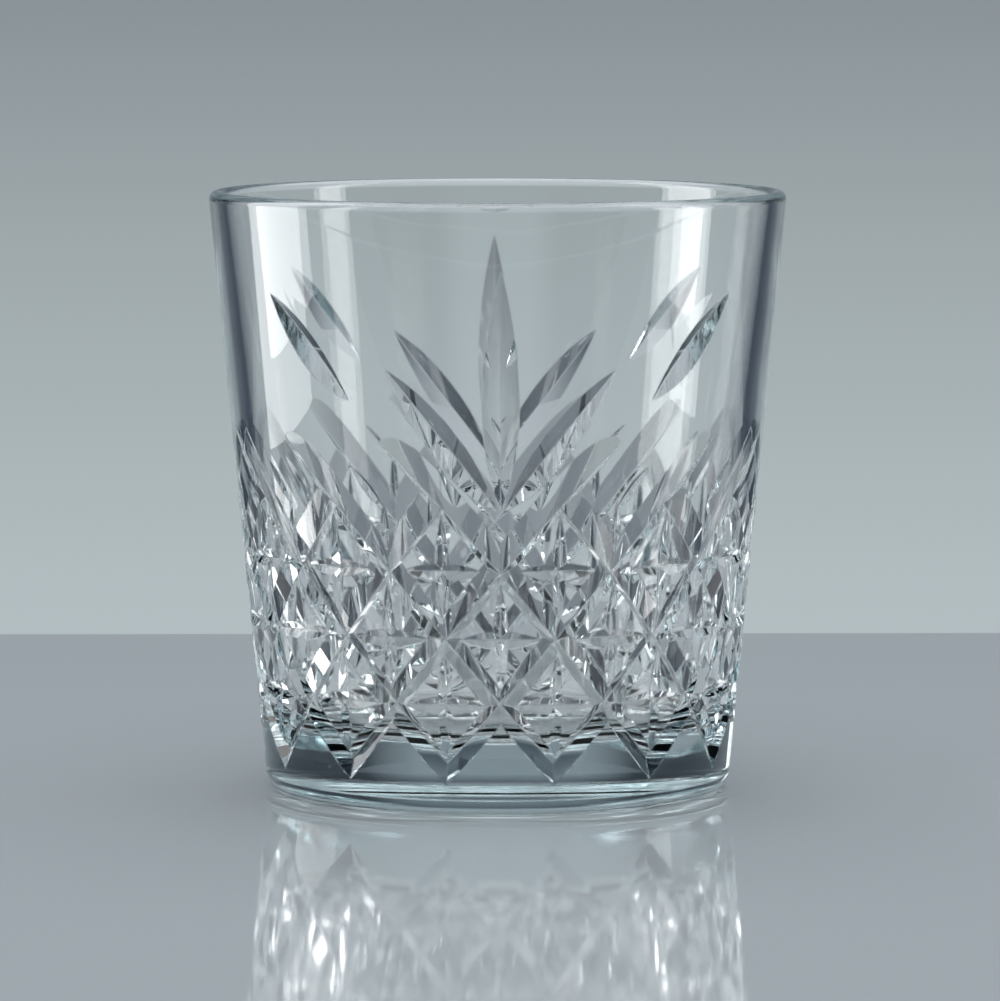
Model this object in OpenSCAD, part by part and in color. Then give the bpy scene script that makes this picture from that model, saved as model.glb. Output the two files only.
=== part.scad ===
// Whiskey tumbler in pressed clear glass: one piece, with V-cut decoration
// outside. The glass stands on z = 0 with its axis on Z, and the middle of
// one fan faces -Y. Millimetres.

/* [Body] */
// Overall height
height = 90; // [80:0.5:120]
// Largest diameter, at the rim
rim_d = 86.5; // [80:0.5:110]
// Diameter of the ring that the glass stands on
foot_d = 64; // [56:0.5:76]
// Radius of the heel, from the foot to the wall
heel_r = 3; // [2:0.25:4]
// Wall thickness at the rim, whose edge is a full round
rim_wall = 2.4; // [2:0.1:3.5]
// Wall thickness at the level of the floor
low_wall = 4.3; // [3.6:0.1:6]
// Thickness of the base under the floor
base_t = 10.3; // [6:0.1:16]
// Radius between the floor and the wall, inside
floor_r = 5; // [3:0.25:8]
// Width of the ring that touches the table
foot_w = 4; // [3:0.25:8]
// Depth of the hollow inside that ring
punt_h = 0.8; // [0.4:0.1:2]

/* [Lattice of long grooves] */
// Crossings in each row, once round
columns = 14; // [10:2:16]
// Height of the lowest row of crossings
first_row = 7.2; // [6.5:0.1:9]
// Height from one row of crossings to the next
row_pitch = 9.7; // [8:0.1:11]
// Depth of the long grooves
groove_depth = 1.4; // [0.8:0.05:1.6]
// Width of the long grooves at the surface
groove_w = 3.5; // [2.4:0.1:4]

/* [Stars inside the diamonds] */
// Depth of the level cut
star_level_depth = 1.0; // [0.5:0.05:1.2]
// Width of the level cut
star_level_w = 2.6; // [1.6:0.1:3]
// Length of the level cut
star_level_l = 10.5; // [8:0.25:11]
// Depth of the upright cut
star_up_depth = 0.85; // [0.5:0.05:1.2]
// Width of the upright cut
star_up_w = 2.2; // [1.4:0.1:3]
// Length of the upright cut
star_up_l = 13; // [10:0.25:14]

/* [Fans and leaves] */
// Plain band between the tip of the middle leaf and the rim
plain_band = 9.6; // [8:0.2:16]
// Depth of the leaves
leaf_depth = 1.4; // [0.8:0.05:1.6]
// Width of the middle leaf
middle_leaf_w = 5.7; // [4:0.1:6.4]
// Width of the two side leaves
side_leaf_w = 4.8; // [3.5:0.1:6]
// Length of the two side leaves
side_leaf_l = 24; // [20:0.5:25]
// Width of the free leaves
free_leaf_w = 4.4; // [3:0.1:5]
// Length of the free leaves
free_leaf_l = 21; // [16:0.5:24]

/* [Hidden] */

glass = [0.82, 0.88, 0.9, 0.55];
eps = 0.01;

// --- upright profile of the body -----------------------------------------
rim_r = rim_d / 2;
edge_r = rim_wall / 2;
edge_x = rim_r - edge_r;
edge_z = height - edge_r;
heel_x = foot_d / 2;

// Angle from upright of the line that touches two circles on the same side
function touch_angle(dx, dz, dr) = acos(dr / norm([dx, dz])) - atan2(dz, dx);

taper = touch_angle(edge_x - heel_x, edge_z - heel_r, heel_r - edge_r);
heel_top = [heel_x + heel_r * cos(taper), heel_r * (1 - sin(taper))];
edge_out = [edge_x + edge_r * cos(taper), edge_z - edge_r * sin(taper)];

// Radius of the plain outside at height z
function wall_r(z) = heel_top[0] + (z - heel_top[1]) * tan(taper);

floor_z = base_t;
in_low_r = wall_r(floor_z) - low_wall;
in_taper = atan2(edge_x - edge_r - in_low_r, edge_z - floor_z);
// The floor's corner circle touches the floor and the slanted inner wall
corner_x = in_low_r - floor_r * (1 - sin(in_taper)) / cos(in_taper);
corner_out = [corner_x + floor_r * cos(in_taper), floor_z + floor_r * (1 - sin(in_taper))];
// The slanted inner wall touches the edge's circle where its radius is square to it
edge_in = [edge_x - edge_r * cos(in_taper), edge_z + edge_r * sin(in_taper)];

foot_in_r = heel_x - foot_w;
punt_ball_r = (foot_in_r * foot_in_r + punt_h * punt_h) / (2 * punt_h);

// --- layout of the cuts --------------------------------------------------
step = 360 / columns;
rows = 4;
top_row = first_row + (rows - 1) * row_pitch;
open_row = top_row + row_pitch;
groove_slope = groove_depth / (groove_w / 2);
over = 1.6;
// The family of grooves that is cut last is this much shallower, so that the
// first one's valleys run on through the crossings
family_step = 0.05;
// Degrees by which each family runs past the mitre in the lowest row
mitre_lap = 0.6;

// Each long groove lies in a plane that leans by `lean` and crosses the axis
// at groove_mid, so it passes the crossings of all the rows in turn.
groove_mid = (first_row + top_row) / 2 - 0.4;
groove_half = (rows - 1) * step / 4;
lean = atan2(top_row - groove_mid, wall_r(top_row) * sin(groove_half));
// Radius of the ring: the wall's own curve in that plane, and a little more,
// so that a long groove fades out into a leaf
groove_run = 1.08 * wall_r(groove_mid) / pow(cos(lean), 2);
// The ring leans with the taper of the wall
groove_lead = atan(tan(taper) * sin(lean));
long_swing = 48;
half_round = columns / 2;

// Height at which a groove passes an azimuth off from its middle
function crossing_z(off) =
    (groove_mid + tan(lean) * sin(off) * wall_r(0)) / (1 - tan(lean) * sin(off) * tan(taper));

fan_z = open_row - 0.8;
middle_l = height - plain_band - fan_z;
// The side leaves rise from the fan's foot, and the free leaves lie outside them
side_dir = 128.5;
side_a = 13.7;
side_z = fan_z + 2.2 + side_leaf_l / 2 * sin(side_dir);
free_dir = 133.5;
free_a = 43;
free_z = height - plain_band - 4.4 - free_leaf_l / 2 * sin(free_dir);

module body_profile() {
    difference() {
        union() {
            polygon([[0, 0], [heel_x, 0], heel_top, edge_out, [edge_x, edge_z], [0, edge_z]]);
            translate([heel_x, heel_r]) circle(r = heel_r, $fn = 96);
        }
        polygon([[-1, floor_z], [corner_x, floor_z], corner_out,
                 edge_in, [edge_x, edge_z], [edge_x, height + 1], [-1, height + 1]]);
        translate([corner_x, floor_z + floor_r]) circle(r = floor_r, $fn = 96);
    }
    translate([edge_x, edge_z]) circle(r = edge_r, $fn = 96);
}

// The body before it is cut
module blank() {
    difference() {
        rotate_extrude($fn = 180) intersection() {
            body_profile();
            square([rim_r + 1, height + 1]);
        }
        translate([0, 0, punt_h - punt_ball_r]) sphere(r = punt_ball_r, $fn = 180);
    }
}

// Moves to the plain outside at azimuth a from the fan's middle and height z:
// X points out of the glass, Y along its girth and Z up its wall
module on_wall(a, z) {
    rotate([0, 0, a - 90]) translate([wall_r(z), 0, z]) rotate([0, taper, 0]) children();
}

// Radius of the wheel that cuts a lens of length 2 * half and depth deep in a
// direction dir degrees above the girth, at height z
function wheel_r(half, deep, dir, z) =
    1 / (2 * deep / (half * half) - pow(cos(dir), 2) * cos(taper) / wall_r(z));

// V-shaped rim of a cutting wheel of radius r, with its tip at depth deep
module v_rim(r, deep, slope) {
    back = deep + over;
    polygon([[r, 0], [r - back, back / slope], [r - back, -back / slope]]);
}

// Lens-shaped cut with its middle at (a, z), in a direction dir degrees above
// the girth: the mark of a wheel with a V rim
module lens(a, z, dir, length, width, deep) {
    r = wheel_r(length / 2, deep, dir, z);
    swing = asin(min(0.9, (length / 2 + over) / r));
    on_wall(a, z) rotate([dir, 0, 0]) translate([r - deep, 0, 0]) rotate([0, 0, 180 - swing])
        rotate_extrude(angle = 2 * swing, $fn = 180) v_rim(r, deep, 2 * deep / width);
}

// Upright wedge round the axis between two azimuths from the fan's middle
module sector(from, to) {
    far = 2 * rim_d;
    rotate([0, 0, from - 90]) rotate_extrude(angle = to - from, $fn = 180)
        translate([eps, -height]) square([far, 3 * height]);
}

// One long groove, from the crossing at azimuth a in the top row: a V-edged
// ring round the glass. It goes down to the right when hand is 1 and to the
// left when it is -1. Its upper end is a leaf, or the next groove when it is
// a short one.
module groove(a, long, hand) {
    mid = a + hand * groove_half;
    deep = groove_depth - (hand > 0 ? 0 : family_step);
    back = deep + over;
    fall = groove_half + mitre_lap;
    rise = long ? long_swing : fall + step / 2;
    intersection() {
        rotate([0, 0, mid - 90]) translate([wall_r(groove_mid) - deep, 0, groove_mid])
            rotate([-hand * lean, 0, 0]) rotate([0, 0, hand * groove_lead])
                translate([-groove_run, 0, 0])
                    rotate_extrude($fn = 180)
                        polygon([[groove_run, 0], [groove_run + back, back / groove_slope],
                                 [groove_run + back, -back / groove_slope]]);
        if (hand > 0) sector(mid - rise, mid + fall);
        else sector(mid - fall, mid + rise);
    }
}

// Is the groove that goes down to the right from column k a long one?
function is_long(k) = k % half_round == 0 || k % half_round > half_round / 2;

// One family of grooves. The two families are each other's mirror image.
module family(hand) {
    for (k = [0:columns - 1]) groove(hand * k * step, is_long(k), hand);
}

// Four-pointed star of a level cut and an upright cut
module star(a, z) {
    lens(a, z, 0, star_level_l, star_level_w, star_level_depth);
    lens(a, z, 90, star_up_l, star_up_w, star_up_depth);
}

// A star in every closed diamond
module stars() {
    for (row = [1:rows - 1], k = [0:columns - 1])
        star((k + (row % 2) / 2) * step, crossing_z((row - 1.5) * step / 2));
}

// Lens-shaped cut that leans to the left when hand is 1 and to the right
// when it is -1
module leaning_lens(hand, a, z, dir, length, width, deep) {
    lens(hand * a, z, 90 + hand * (dir - 90), length, width, deep);
}

// One fan whose middle is at azimuth a, with a free leaf on each side
module fan(a) {
    lens(a, fan_z + middle_l / 2, 90, middle_l, middle_leaf_w, leaf_depth);
    for (hand = [1, -1]) {
        leaning_lens(hand, hand * a - side_a, side_z, side_dir, side_leaf_l,
                     side_leaf_w, leaf_depth);
        leaning_lens(hand, hand * a - free_a, free_z, free_dir, free_leaf_l,
                     free_leaf_w, leaf_depth);
    }
}

// The body with one family of grooves after the other cut into it
module latticed() {
    difference() {
        difference() {
            blank();
            family(1);
        }
        family(-1);
    }
}

module tumbler() {
    color(glass) difference() {
        latticed();
        stars();
        fan(0);
        fan(180);
    }
}

tumbler();
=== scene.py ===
"""The whiskey tumbler in clear pressed glass, on a pale table in soft light.

The glass is one closed mesh: a turned body, with each decorative groove, star
and leaf taken out of it by the V-edged wheel that cuts it. Lengths are in
millimetres up to the finished mesh, and in metres in the scene.
"""

import math

import bpy
import numpy as np
from mathutils import Matrix, Vector


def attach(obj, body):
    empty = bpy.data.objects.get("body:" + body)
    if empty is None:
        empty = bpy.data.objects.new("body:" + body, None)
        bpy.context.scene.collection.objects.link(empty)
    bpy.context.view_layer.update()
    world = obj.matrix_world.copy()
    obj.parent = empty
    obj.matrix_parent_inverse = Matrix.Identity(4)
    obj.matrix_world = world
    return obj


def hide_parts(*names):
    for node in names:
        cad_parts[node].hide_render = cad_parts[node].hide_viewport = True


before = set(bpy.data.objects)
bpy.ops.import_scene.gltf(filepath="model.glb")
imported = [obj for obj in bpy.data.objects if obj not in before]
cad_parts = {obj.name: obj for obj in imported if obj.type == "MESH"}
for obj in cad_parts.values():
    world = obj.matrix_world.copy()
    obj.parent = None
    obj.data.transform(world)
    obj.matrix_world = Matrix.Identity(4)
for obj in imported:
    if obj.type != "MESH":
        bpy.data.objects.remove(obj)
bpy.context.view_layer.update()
scene = bpy.context.scene

MM = 0.001

# The body
HEIGHT = 90.0
RIM_R = 43.25
EDGE_R = 1.2
HEEL_X = 32.0
HEEL_R = 3.0
LOW_WALL = 4.3
FLOOR_Z = 10.3
FLOOR_R = 5.0
FOOT_W = 4.0
PUNT_H = 0.8

# The lattice of long grooves
COLUMNS = 14
FIRST_ROW = 7.2
ROW_PITCH = 9.7
ROWS = 4
GROOVE_DEPTH = 1.4
GROOVE_W = 3.5
# A groove's middle is this far below the middle of the rows
GROOVE_DROP = 0.4
# Radius of a groove's ring, as a share of the wall's own curve along it
RING_SHARE = 1.08
# How far round from its middle a groove that runs on as a leaf goes
LONG_SWING = math.radians(48)
# How far a groove runs past the place where it meets another
LAP = math.radians(0.02)

# The stars
LEVEL = {"depth": 1.0, "width": 2.6, "length": 12.0}
UPRIGHT = {"depth": 0.85, "width": 2.2, "length": 17.0}

# The leaves of the two fans, and the free leaves beside them. A leaf is OFF
# round from its fan and leans by LEAN from level, and its mirror image the
# other way. LONG_SHARE of a fan's leaf is above its widest place.
PLAIN_BAND = 9.6
LEAF_DEPTH = 1.4
LONG_SHARE = 0.58
FAN_DROP = 0.8
MIDDLE_W = 5.7
SIDE_W = 4.8
SIDE_L = 26.0
SIDE_OFF = math.radians(10.7)
SIDE_LEAN = math.radians(128.5)
FREE_W = 4.4
FREE_L = 21.0
FREE_OFF = math.radians(43)
FREE_LEAN = math.radians(133.5)
FREE_DROP = 4.4

# The sprigs in the open diamonds: a slanting cut over an upright stem. Their
# foot is a share of a row above the top row.
SPRIG_W = 1.4
SPRIG_DEPTH = 0.6
SPRIG_FOOT = 0.93
SLANT_L = 8.0
SLANT_RISE = 2.9
SLANT_OFF = math.radians(3.6)
SLANT_LEAN = math.radians(130)
STEM_L = 10.0
STEM_DROP = 3.6

# How far a cutting wheel's V stands out of the glass
OVER = 1.6
# Sine of the widest swing of a wheel to either side of a cut's deepest point
WIDEST_SWING = 0.9

# How finely the turned body is made: round it, and along each arc of its section
ROUND_STEPS = 36 * COLUMNS
PUNT_STEPS = 10
HEEL_STEPS = 14
EDGE_STEPS = 24
FLOOR_STEPS = 16

# The studio, in metres
TABLE_DEEP = 0.412
TABLE_WIDE = 3.0


def touch_angle(dx, dz, dr):
    """Angle from upright of the line that touches two circles on one side."""
    return math.acos(dr / math.hypot(dx, dz)) - math.atan2(dz, dx)


EDGE_X = RIM_R - EDGE_R
EDGE_Z = HEIGHT - EDGE_R
TAPER = touch_angle(EDGE_X - HEEL_X, EDGE_Z - HEEL_R, HEEL_R - EDGE_R)
HEEL_TOP = (HEEL_X + HEEL_R * math.cos(TAPER), HEEL_R * (1 - math.sin(TAPER)))


def wall_r(z):
    """Radius of the plain outside at height z."""
    return HEEL_TOP[0] + (z - HEEL_TOP[1]) * math.tan(TAPER)


STEP = 2 * math.pi / COLUMNS
TOP_ROW = FIRST_ROW + (ROWS - 1) * ROW_PITCH
OPEN_ROW = TOP_ROW + ROW_PITCH
GROOVE_MID = (FIRST_ROW + TOP_ROW) / 2 - GROOVE_DROP
GROOVE_HALF = (ROWS - 1) * STEP / 4
LEAN = math.atan2(TOP_ROW - GROOVE_MID, wall_r(TOP_ROW) * math.sin(GROOVE_HALF))
GROOVE_RUN = RING_SHARE * wall_r(GROOVE_MID) / math.cos(LEAN) ** 2
GROOVE_LEAD = math.atan(math.tan(TAPER) * math.sin(LEAN))
FAN_Z = OPEN_ROW - FAN_DROP

# Each half of the glass starts under a fan. In each family, the first groove of a
# half and the late ones run on as leaves, and the sprigs stand over the late ones.
IN_HALF = np.arange(COLUMNS) % (COLUMNS // 2)
LATE = IN_HALF > COLUMNS / 4
RUNS_ON = (IN_HALF == 0) | LATE


# --- meshes ---------------------------------------------------------------

def arc(x, z, radius, start, end, steps, side=1):
    """Points on a circle about (x, z) and their normals, as a pair of arrays.

    The angles are in degrees. Side is 1 where the glass is inside the circle
    and -1 where it is outside.
    """
    t = np.radians(np.linspace(start, end, steps))
    ray = np.column_stack([np.cos(t), np.sin(t)])
    return np.array([x, z]) + radius * ray, side * ray


def glass_outline():
    """Half section from the middle of the punt round to the middle of the floor.

    Returns its points as (radius, height), and the normals at the start and
    the end of each of its segments. The four arcs have the normals of their
    circles, and the straight lines between them have their own.
    """
    taper = math.degrees(TAPER)
    low_r = wall_r(FLOOR_Z) - LOW_WALL
    lean_in = math.atan2(EDGE_X - EDGE_R - low_r, EDGE_Z - FLOOR_Z)
    inside = math.degrees(lean_in)
    corner_x = low_r - FLOOR_R * (1 - math.sin(lean_in)) / math.cos(lean_in)
    foot_in = HEEL_X - FOOT_W
    ball = (foot_in ** 2 + PUNT_H ** 2) / (2 * PUNT_H)
    half = math.degrees(math.asin(foot_in / ball))
    middle = np.array([[0.0, FLOOR_Z]]), np.array([[0.0, 1.0]])
    pieces = [
        arc(0, PUNT_H - ball, ball, 90, 90 - half, PUNT_STEPS, -1),
        arc(HEEL_X, HEEL_R, HEEL_R, -90, -taper, HEEL_STEPS),
        arc(EDGE_X, EDGE_Z, EDGE_R, -taper, 180 - inside, EDGE_STEPS),
        arc(corner_x, FLOOR_Z + FLOOR_R, FLOOR_R, -inside, -90, FLOOR_STEPS, -1),
        middle,
    ]
    points = np.concatenate([p for p, _ in pieces])
    own = np.concatenate([n for _, n in pieces])
    start, end = own[:-1].copy(), own[1:].copy()
    line = np.cumsum([len(p) for p, _ in pieces])[:-1] - 1
    run = points[line + 1] - points[line]
    square = np.column_stack([run[:, 1], -run[:, 0]])
    square /= np.linalg.norm(square, axis=1)[:, None]
    start[line], end[line] = square, square
    return points, start, end


def shell(name, points, faces, normals):
    """A mesh object that carries the true normal of each face corner.

    points is (n, 3), faces a list of index arrays with one row a face, and
    normals has one row for each corner in the order of the faces.
    """
    mesh = bpy.data.meshes.new(name)
    mesh.from_pydata(points.tolist(), [], [f for group in faces for f in group.tolist()])
    kept = mesh.attributes.new("true_normal", "FLOAT_VECTOR", "CORNER")
    kept.data.foreach_set("vector", np.concatenate(normals).astype(np.float32).ravel())
    mesh.update()
    obj = bpy.data.objects.new(name, mesh)
    scene.collection.objects.link(obj)
    return obj


def turned(name, outline, start, end, turns):
    """Solid of revolution: (r cos t, r sin t, z) with (r, z) on the outline.

    The first and last points of the outline are on the axis, and each is one
    vertex that a ring of triangles closes. Start and end are the normals at
    the ends of each of its segments.
    """
    t = np.arange(turns) * 2 * math.pi / turns
    ring = outline[1:-1]
    points = np.stack([ring[:, 0, None] * np.cos(t), ring[:, 0, None] * np.sin(t),
                       np.broadcast_to(ring[:, 1, None], (len(ring), turns))], axis=-1)
    low, high = [0, 0, outline[0, 1]], [0, 0, outline[-1, 1]]
    points = np.concatenate([[low], points.reshape(-1, 3), [high]])
    here = np.arange(turns)
    after = np.roll(here, -1)
    row = 1 + turns * np.arange(len(ring) - 1)[:, None]
    bands = np.stack([row + here, row + after, row + turns + after, row + turns + here], -1)
    last = 1 + turns * (len(ring) - 1)
    top = len(points) - 1
    faces = [np.stack([here * 0, 1 + after, 1 + here], -1), bands.reshape(-1, 4),
             np.stack([last + here, last + after, here * 0 + top], -1)]

    def spun(flat, angle):
        """The section normals flat, one a row, turned to each angle."""
        flat = flat[:, None, :]
        return np.stack([flat[..., 0] * np.cos(angle), flat[..., 0] * np.sin(angle),
                         np.broadcast_to(flat[..., 1], (len(flat), turns))], axis=-1)

    next_t = t + t[1]
    half_t = t + t[1] / 2
    normals = [
        np.stack([spun(start[:1], half_t)[0], spun(end[:1], next_t)[0], spun(end[:1], t)[0]], 1),
        np.stack([spun(start[1:-1], t), spun(start[1:-1], next_t),
                  spun(end[1:-1], next_t), spun(end[1:-1], t)], axis=2),
        np.stack([spun(start[-1:], t)[0], spun(start[-1:], next_t)[0],
                  spun(end[-1:], half_t)[0]], 1),
    ]
    return shell(name, points, faces, [n.reshape(-1, 3) for n in normals])


def v_cuts(name, curves, flanks):
    """Closed V-shaped bars, one for each cut of a set.

    curves is (cuts, stations, 3, 3): for each station along a cut, its tip
    and its two back edges. flanks is (cuts, stations, 2, 3): the normals of
    the glass on the side of each back edge. A bar has three long sides and a
    triangle at each end.
    """
    cuts, stations = curves.shape[:2]
    first = 3 * stations * np.arange(cuts)[:, None]
    at = first + 3 * np.arange(stations - 1)
    faces, normals = [], []
    for side, (a, b) in enumerate([(0, 1), (2, 0), (1, 2)]):
        quads = np.stack([at + a, at + b, at + 3 + b, at + 3 + a], -1)
        faces.append(quads.reshape(-1, 4))
        own = flanks[:, :, min(side, 1)]
        corner = np.stack([own[:, :-1], own[:, :-1], own[:, 1:], own[:, 1:]], axis=2)
        normals.append(corner.reshape(-1, 3))
    far = 3 * (stations - 1)
    faces.append((first + np.array([0, 2, 1])).reshape(-1, 3))
    normals.append(np.repeat(flanks[:, 0, 0], 3, axis=0))
    faces.append((first + far + np.array([0, 1, 2])).reshape(-1, 3))
    normals.append(np.repeat(flanks[:, -1, 0], 3, axis=0))
    points = curves.reshape(-1, 3)
    solid = shell(name, points, faces, normals)
    a, b, c = points[faces[0][:, 0]], points[faces[0][:, 1]], points[faces[0][:, 2]]
    middle = curves[:, :-1].mean(axis=2).reshape(-1, 3)
    if np.einsum("ij,ij->", np.cross(b - a, c - a), a - middle) < 0:
        solid.data.flip_normals()
    return solid


def turn(axis, angle):
    """Rotation matrices about one axis, for one angle or an array of them."""
    c, s = np.cos(angle), np.sin(angle)
    i, j = {"x": (1, 2), "y": (2, 0), "z": (0, 1)}[axis]
    m = np.zeros(np.shape(angle) + (3, 3))
    m[..., [0, 1, 2], [0, 1, 2]] = 1
    m[..., i, i], m[..., j, j], m[..., i, j], m[..., j, i] = c, c, -s, s
    return m


def groove_cuts(hand, stations=110):
    """One family of long grooves: V-edged rings that lean round the glass.

    A groove is a circle of radius GROOVE_RUN in a plane that leans by LEAN,
    with its nearest point a groove's depth inside the wall. The tip and the
    two back edges of the V each run between the same two upright planes
    through the axis, so that the two families meet in a mitre. Hand is 1 for
    one family and -1 for its mirror image.
    """
    columns = hand * np.arange(COLUMNS)
    back = GROOVE_DEPTH + OVER
    spread = back * GROOVE_W / 2 / GROOVE_DEPTH
    radius = np.array([GROOVE_RUN, GROOVE_RUN + back, GROOVE_RUN + back])
    off = np.array([0, spread, -spread])
    place = turn("x", -hand * LEAN) @ turn("z", hand * GROOVE_LEAD)
    origin = np.array([wall_r(GROOVE_MID) - GROOVE_DEPTH, 0, GROOVE_MID])

    def point(phi):
        """Places on the three circles at the angles phi, (..., 3)."""
        local = np.stack([radius * np.cos(phi) - GROOVE_RUN, radius * np.sin(phi),
                          off + 0 * phi], axis=-1)
        return local @ place.T + origin

    reach, samples = 75, 6001
    dense = np.radians(np.linspace(-reach, reach, samples))[:, None] * np.ones(3)
    p = point(dense)
    azimuth = np.arctan2(p[..., 1], p[..., 0])
    rise = np.where(RUNS_ON, LONG_SWING, GROOVE_HALF + STEP / 2 + LAP)
    upper = -hand * rise
    lower = np.full(COLUMNS, hand * (GROOVE_HALF + LAP))
    ends = [np.stack([np.interp(np.minimum(upper, lower), azimuth[:, i], dense[:, i])
                      for i in range(3)], -1),
            np.stack([np.interp(np.maximum(upper, lower), azimuth[:, i], dense[:, i])
                      for i in range(3)], -1)]
    share = np.linspace(0, 1, stations)[None, :, None]
    phi = ends[0][:, None] * (1 - share) + ends[1][:, None] * share
    curve = point(phi)
    slope = GROOVE_DEPTH / (GROOVE_W / 2)
    out = phi[..., :1] * np.ones(2)
    flank = np.stack([np.cos(out), np.sin(out), np.array([-slope, slope]) + 0 * out], -1)
    flank = flank / np.linalg.norm(flank, axis=-1, keepdims=True) @ place.T
    about = turn("z", columns * STEP + hand * GROOVE_HALF - math.pi / 2)[:, None, None]
    curve = (about @ curve[..., None])[..., 0]
    flank = (about @ flank[..., None])[..., 0]
    return v_cuts("grooves", curve, flank)


def lens_cuts(name, azimuth, height, lean, fore, aft, width, depth, stations=48):
    """Lens-shaped cuts, made by a wheel with a V rim.

    The first four sizes may be arrays, with one value for each cut: azimuth
    from the middle of the fan, height of the deepest point, and the angle of
    the fore half above the girth. The rim of the wheel is a circle, whose
    radius makes the cut run out of the wall at the half lengths fore and aft.
    """
    azimuth, height, lean = np.broadcast_arrays(azimuth, height, lean)
    girth = np.cos(lean) ** 2 * math.cos(TAPER) / wall_r(height)
    back = depth + OVER
    spread = back * width / 2 / depth

    def wheel(half):
        """Radius of the wheel, and the angle that half a cut swings through."""
        r = 1 / (2 * depth / half ** 2 - girth)
        return r, np.arcsin(np.minimum(WIDEST_SWING, (half + OVER) / r))

    r_fore, swing_fore = wheel(fore)
    r_aft, swing_aft = wheel(aft)
    share = np.linspace(-1, 1, stations + 1)
    ahead = share > 0
    psi = share * np.where(ahead, swing_fore[:, None], swing_aft[:, None])
    r = np.where(ahead, r_fore[:, None], r_aft[:, None])
    rho = np.stack([r, r - back, r - back], -1)
    psi3 = psi[..., None] + 0 * rho
    curve = np.stack([(r - depth)[..., None] - rho * np.cos(psi3), rho * np.sin(psi3),
                      np.array([0, spread, -spread]) + 0 * rho], -1)
    psi2 = psi[..., None] * np.ones(2)
    slope = 2 * depth / width
    flank = np.stack([np.cos(psi2), -np.sin(psi2), np.array([-slope, slope]) + 0 * psi2], -1)
    flank /= np.linalg.norm(flank, axis=-1, keepdims=True)
    place = turn("y", np.full(lean.shape, TAPER)) @ turn("x", lean)
    about = turn("z", azimuth - math.pi / 2)
    origin = np.stack([wall_r(height), 0 * height, height], -1)[:, None, None, :, None]
    curve = about[:, None, None] @ (place[:, None, None] @ curve[..., None] + origin)
    flank = (about @ place)[:, None, None] @ flank[..., None]
    return v_cuts(name, curve[..., 0], flank[..., 0])


def crossing_z(off):
    """Height at which a groove passes an azimuth off from its middle."""
    t = math.tan(LEAN) * math.sin(off)
    return (GROOVE_MID + t * wall_r(0)) / (1 - t * math.tan(TAPER))


def star_cuts():
    """A level and an upright cut in every closed diamond, as four sets."""
    sets = []
    for rows in ((1, 3), (2,)):
        azimuth = np.concatenate([(np.arange(COLUMNS) + row % 2 / 2) * STEP for row in rows])
        height = np.concatenate([np.full(COLUMNS, crossing_z((row - 1.5) * STEP / 2))
                                 for row in rows])
        for lean, cut in ((0, LEVEL), (math.pi / 2, UPRIGHT)):
            half = cut["length"] / 2
            sets.append(lens_cuts("star", azimuth, height, lean, half, half,
                                  cut["width"], cut["depth"]))
    return sets


def both_hands(azimuth, lean):
    """The cut and its mirror image in the plane through the fans."""
    return np.array([azimuth, -azimuth]), np.array([lean, math.pi - lean])


def leaf_cuts():
    """The leaves of the two fans, the free leaves and the sprigs, as sets."""
    fans = np.array([0, math.pi])
    middle_l = HEIGHT - PLAIN_BAND - FAN_Z
    fore, aft = middle_l * LONG_SHARE, middle_l * (1 - LONG_SHARE)
    sets = [lens_cuts("middle_leaf", fans, FAN_Z + aft, math.pi / 2, fore, aft,
                      MIDDLE_W, LEAF_DEPTH)]
    fore, aft = SIDE_L * LONG_SHARE, SIDE_L * (1 - LONG_SHARE)
    side_z = FAN_Z + aft * math.sin(SIDE_LEAN)
    for azimuth, lean in zip(*both_hands(-SIDE_OFF, SIDE_LEAN)):
        sets.append(lens_cuts("side_leaf", fans + azimuth, side_z, lean, fore, aft,
                              SIDE_W, LEAF_DEPTH))
    half = FREE_L / 2
    free_z = HEIGHT - PLAIN_BAND - FREE_DROP - half * math.sin(FREE_LEAN)
    azimuth, lean = both_hands(-FREE_OFF, FREE_LEAN)
    sets.append(lens_cuts("free_leaf", (fans[:, None] + azimuth).ravel(), free_z,
                          np.tile(lean, 2), half, half, FREE_W, LEAF_DEPTH))
    at = np.flatnonzero(LATE) * STEP
    foot = TOP_ROW + SPRIG_FOOT * ROW_PITCH
    azimuth = np.concatenate([at - SLANT_OFF, -at + SLANT_OFF])
    lean = np.repeat([SLANT_LEAN, math.pi - SLANT_LEAN], len(at))
    half = SLANT_L / 2
    sets.append(lens_cuts("sprig_slant", azimuth, foot + SLANT_RISE, lean, half, half,
                          SPRIG_W, SPRIG_DEPTH))
    half = STEM_L / 2
    sets.append(lens_cuts("sprig_stem", np.concatenate([at, -at]), foot - STEM_DROP,
                          math.pi / 2, half, half, SPRIG_W, SPRIG_DEPTH))
    return sets


def cut_glass():
    """The turned body with every cut taken out, as one closed mesh in metres."""
    body = turned("tumbler_glass", *glass_outline(), ROUND_STEPS)
    cutters = [groove_cuts(1), groove_cuts(-1)] + star_cuts() + leaf_cuts()
    for cutter in cutters:
        cut = body.modifiers.new(cutter.name, "BOOLEAN")
        cut.operation = "DIFFERENCE"
        cut.solver = "MANIFOLD"
        cut.object = cutter
    bpy.context.view_layer.update()
    drawn = body.evaluated_get(bpy.context.evaluated_depsgraph_get())
    mesh = bpy.data.meshes.new_from_object(drawn)
    body.modifiers.clear()
    body.data = mesh
    for cutter in cutters:
        bpy.data.objects.remove(cutter)
    mesh.transform(Matrix.Scale(MM, 4))
    return body


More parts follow.
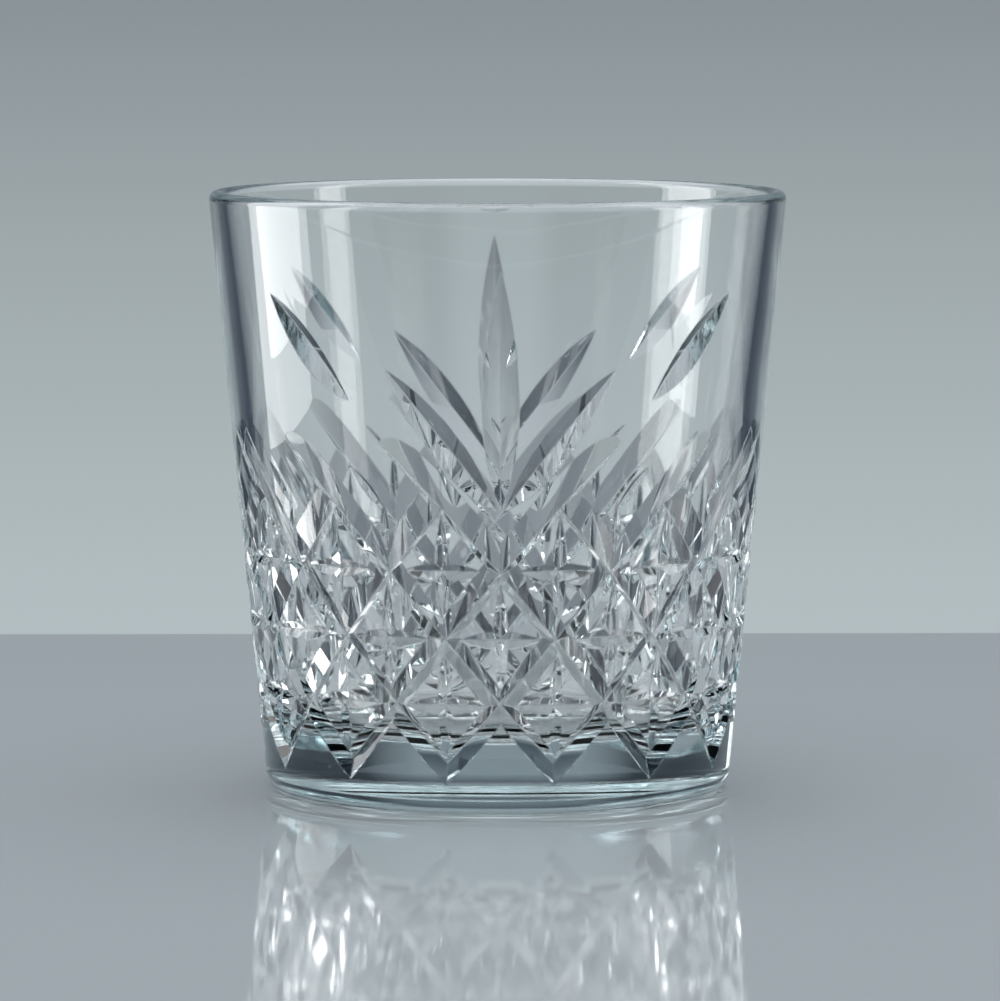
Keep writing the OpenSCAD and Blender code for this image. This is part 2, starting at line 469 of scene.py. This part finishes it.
def true_normals(mesh):
    """Shades the mesh with the normals that its surfaces carried through the cuts.

    A sharp edge keeps the true normal of the surface on each side of it.
    """
    kept = mesh.attributes["true_normal"]
    normals = np.empty(3 * len(mesh.loops), np.float32)
    kept.data.foreach_get("vector", normals)
    normals = normals.reshape(-1, 3)
    normals /= np.linalg.norm(normals, axis=1, keepdims=True)
    mesh.attributes.remove(kept)
    mesh.shade_smooth()
    mesh.normals_split_custom_set(normals)


# --- finishes -------------------------------------------------------------

def put(tree, kind, **sockets):
    """A new node in the tree, with values on its named input sockets."""
    node = tree.nodes.new(kind)
    for name, value in sockets.items():
        node.inputs[name.replace("_", " ")].default_value = value
    return node


def pressed_waves():
    """Node group: height of the slow waves that fire polishing leaves in glass."""
    group = bpy.data.node_groups.new("PressedWaves", "ShaderNodeTree")
    group.interface.new_socket("Vector", in_out="INPUT", socket_type="NodeSocketVector")
    group.interface.new_socket("Scale", in_out="INPUT", socket_type="NodeSocketFloat")
    group.interface.new_socket("Height", in_out="OUTPUT", socket_type="NodeSocketFloat")
    ends = [group.nodes.new("NodeGroupInput"), group.nodes.new("NodeGroupOutput")]
    slow = put(group, "ShaderNodeTexNoise", Detail=1.0, Roughness=0.4)
    group.links.new(ends[0].outputs["Vector"], slow.inputs["Vector"])
    group.links.new(ends[0].outputs["Scale"], slow.inputs["Scale"])
    group.links.new(slow.outputs["Fac"], ends[1].inputs["Height"])
    return group


def clear_glass():
    """Clear soda-lime glass, fire-polished, with a trace of grey-blue in its depth."""
    material = bpy.data.materials.new("clear_glass")
    material.use_nodes = True
    tree = material.node_tree
    tree.nodes.clear()
    out = tree.nodes.new("ShaderNodeOutputMaterial")
    glass = put(tree, "ShaderNodeBsdfPrincipled", Base_Color=(1, 1, 1, 1), Roughness=0.0,
                IOR=1.52, Transmission_Weight=1.0)
    place = tree.nodes.new("ShaderNodeTexCoord")
    waves = tree.nodes.new("ShaderNodeGroup")
    waves.node_tree = pressed_waves()
    waves.inputs["Scale"].default_value = 70
    bump = put(tree, "ShaderNodeBump", Strength=0.25, Distance=0.0001)
    ridge = put(tree, "ShaderNodeBevel", Radius=0.00034)
    ridge.samples = 4
    tree.links.new(ridge.outputs["Normal"], bump.inputs["Normal"])
    tree.links.new(place.outputs["Object"], waves.inputs["Vector"])
    tree.links.new(waves.outputs["Height"], bump.inputs["Height"])
    tree.links.new(bump.outputs["Normal"], glass.inputs["Normal"])
    depth = put(tree, "ShaderNodeVolumeAbsorption", Color=(0.81, 0.88, 0.894, 1), Density=28.0)
    tree.links.new(depth.outputs["Volume"], out.inputs["Volume"])
    tree.links.new(glass.outputs["BSDF"], out.inputs["Surface"])
    return material


def even_finish(name, colour, roughness):
    """A plain finish, the same all over."""
    material = bpy.data.materials.new(name)
    material.use_nodes = True
    shader = material.node_tree.nodes["Principled BSDF"]
    shader.inputs["Base Color"].default_value = (*colour, 1)
    shader.inputs["Roughness"].default_value = roughness
    return material


# --- the glass --------------------------------------------------------------

tumbler = cut_glass()
true_normals(tumbler.data)
tumbler.data.materials.clear()
tumbler.data.materials.append(clear_glass())
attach(tumbler, "root")
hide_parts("tumbler")

# --- table, light and camera --------------------------------------------------

def table_top():
    """A plain table whose top is level with the foot of the glass."""
    corner = np.array([[-1, -1], [1, -1], [1, 1], [-1, 1]]) * [TABLE_WIDE / 2, TABLE_DEEP / 2]
    mesh = bpy.data.meshes.new("table")
    mesh.from_pydata(np.column_stack([corner, np.zeros(4)]).tolist(), [], [[0, 1, 2, 3]])
    obj = bpy.data.objects.new("table", mesh)
    obj.data.materials.append(even_finish("pale_table", colour=(0.66, 0.72, 0.75), roughness=0.05))
    scene.collection.objects.link(obj)
    return obj


def soft_light(name, place, aim, width, height, watts):
    """A white soft box of that size at a place in metres, turned to face aim."""
    lamp = bpy.data.lights.new(name, "AREA")
    lamp.shape = "RECTANGLE"
    lamp.size = width
    lamp.size_y = height
    lamp.energy = watts
    obj = bpy.data.objects.new(name, lamp)
    obj.location = place
    obj.rotation_mode = "QUATERNION"
    obj.rotation_quaternion = (Vector(aim) - Vector(place)).to_track_quat("-Z", "Y")
    obj.visible_camera = False
    scene.collection.objects.link(obj)
    return obj


def ramp(tree, stops):
    """A colour ramp with a colour at each position."""
    node = tree.nodes.new("ShaderNodeValToRGB")
    elements = node.color_ramp.elements
    while len(elements) < len(stops):
        elements.new(1.0)
    for element, (position, colour) in zip(elements, stops):
        element.position = position
        element.color = (*colour, 1)
    return node


def studio():
    """World light: a lit backdrop in front of and behind the table, and dark sides.

    The backdrop's colour depends on the sine of the height above the level,
    moved into the range 0 to 1, and its share on the angle from the Y axis.
    """
    world = bpy.data.worlds.new("studio")
    world.use_nodes = True
    tree = world.node_tree
    tree.nodes.clear()
    place = tree.nodes.new("ShaderNodeTexCoord")
    split = tree.nodes.new("ShaderNodeSeparateXYZ")
    height = put(tree, "ShaderNodeMapRange", From_Min=-1)
    backdrop = ramp(tree, BACKDROP)
    flat = put(tree, "ShaderNodeVectorMath")
    flat.operation = "MULTIPLY"
    flat.inputs[1].default_value = (1, 1, 0)
    unit = put(tree, "ShaderNodeVectorMath")
    unit.operation = "NORMALIZE"
    side = tree.nodes.new("ShaderNodeSeparateXYZ")
    ahead = put(tree, "ShaderNodeMath")
    ahead.operation = "ABSOLUTE"
    share = ramp(tree, SIDES)
    mix = tree.nodes.new("ShaderNodeMix")
    mix.data_type = "RGBA"
    mix.blend_type = "MULTIPLY"
    mix.inputs["Factor"].default_value = 1
    sky = put(tree, "ShaderNodeBackground", Strength=1.0)
    out = tree.nodes.new("ShaderNodeOutputWorld")
    link = tree.links.new
    link(place.outputs["Generated"], split.inputs["Vector"])
    link(split.outputs["Z"], height.inputs["Value"])
    link(height.outputs["Result"], backdrop.inputs["Fac"])
    link(place.outputs["Generated"], flat.inputs[0])
    link(flat.outputs["Vector"], unit.inputs[0])
    link(unit.outputs["Vector"], side.inputs["Vector"])
    link(side.outputs["Y"], ahead.inputs[0])
    link(ahead.outputs["Value"], share.inputs["Fac"])
    link(backdrop.outputs["Color"], mix.inputs["A"])
    link(share.outputs["Color"], mix.inputs["B"])
    link(mix.outputs["Result"], sky.inputs["Color"])
    link(sky.outputs["Background"], out.inputs["Surface"])
    scene.world = world


def height_of(degrees):
    """Position on the backdrop's ramp of a direction that many degrees up."""
    return (math.sin(math.radians(degrees)) + 1) / 2


def side_of(degrees):
    """Position on the sides' ramp of a direction that far from the Y axis."""
    return math.cos(math.radians(degrees))


# Colours from straight down to straight up
BACKDROP = [
    (0.0, (0.30, 0.34, 0.37)),
    (height_of(-12), (0.48, 0.54, 0.57)),
    (height_of(-6), (0.445, 0.51, 0.53)),
    (height_of(-3), (0.345, 0.395, 0.41)),
    (height_of(-0.8), (0.25, 0.285, 0.31)),
    (height_of(8), (0.14, 0.165, 0.19)),
    (height_of(14), (0.09, 0.11, 0.13)),
    (height_of(28), (0.30, 0.33, 0.35)),
    (1.0, (0.60, 0.62, 0.63)),
]
# Shares of those colours from square to the Y axis to along it
SIDES = [
    (0.0, (0.6, 0.62, 0.65)),
    (side_of(60), (0.12, 0.135, 0.17)),
    (side_of(25), (0.10, 0.115, 0.15)),
    (side_of(13), (1.0, 1.0, 1.0)),
]

# The side boxes light the glass alone, so that the table stays even all round
glass_only = bpy.data.collections.new("lit_from_the_sides")
glass_only.objects.link(tumbler)

table_top()
studio()
left_box = soft_light("left_box", place=(-0.298, 0.035, 0.3), aim=(0, 0, 0.3),
                      width=0.16, height=0.6, watts=1.15)
right_box = soft_light("right_box", place=(0.296, -0.049, 0.3), aim=(0, 0, 0.3),
                       width=0.078, height=0.6, watts=0.5)
for side_box in (left_box, right_box):
    side_box.light_linking.receiver_collection = glass_only
soft_light("top_box", place=(0, 0.1, 1.3), aim=(0, 0, 0), width=2.2, height=2.2, watts=20)

scene.view_settings.view_transform = "Standard"
scene.cycles.max_bounces = 48
scene.cycles.transmission_bounces = 48
scene.cycles.glossy_bounces = 24
scene.cycles.transparent_max_bounces = 16
scene.cycles.caustics_refractive = True
scene.cycles.caustics_reflective = False
scene.cycles.sample_clamp_indirect = 12

# The camera stands a metre away, a little to one side and looking a little down
EYE_AT = Vector((0.367, -989.6, 134.3)) * MM
EYE_ROUND = math.radians(-0.71)
EYE_DOWN = math.radians(5.254)

eye = bpy.data.cameras.new("camera")
eye.lens = 237.528
eye.sensor_width = 36
eye.clip_start = 0.01
eye.clip_end = 30
camera = bpy.data.objects.new("camera", eye)
camera.matrix_world = (Matrix.Rotation(EYE_ROUND, 4, "Z") @ Matrix.Translation(EYE_AT)
                       @ Matrix.Rotation(math.pi / 2 - EYE_DOWN, 4, "X"))
scene.collection.objects.link(camera)
scene.camera = camera
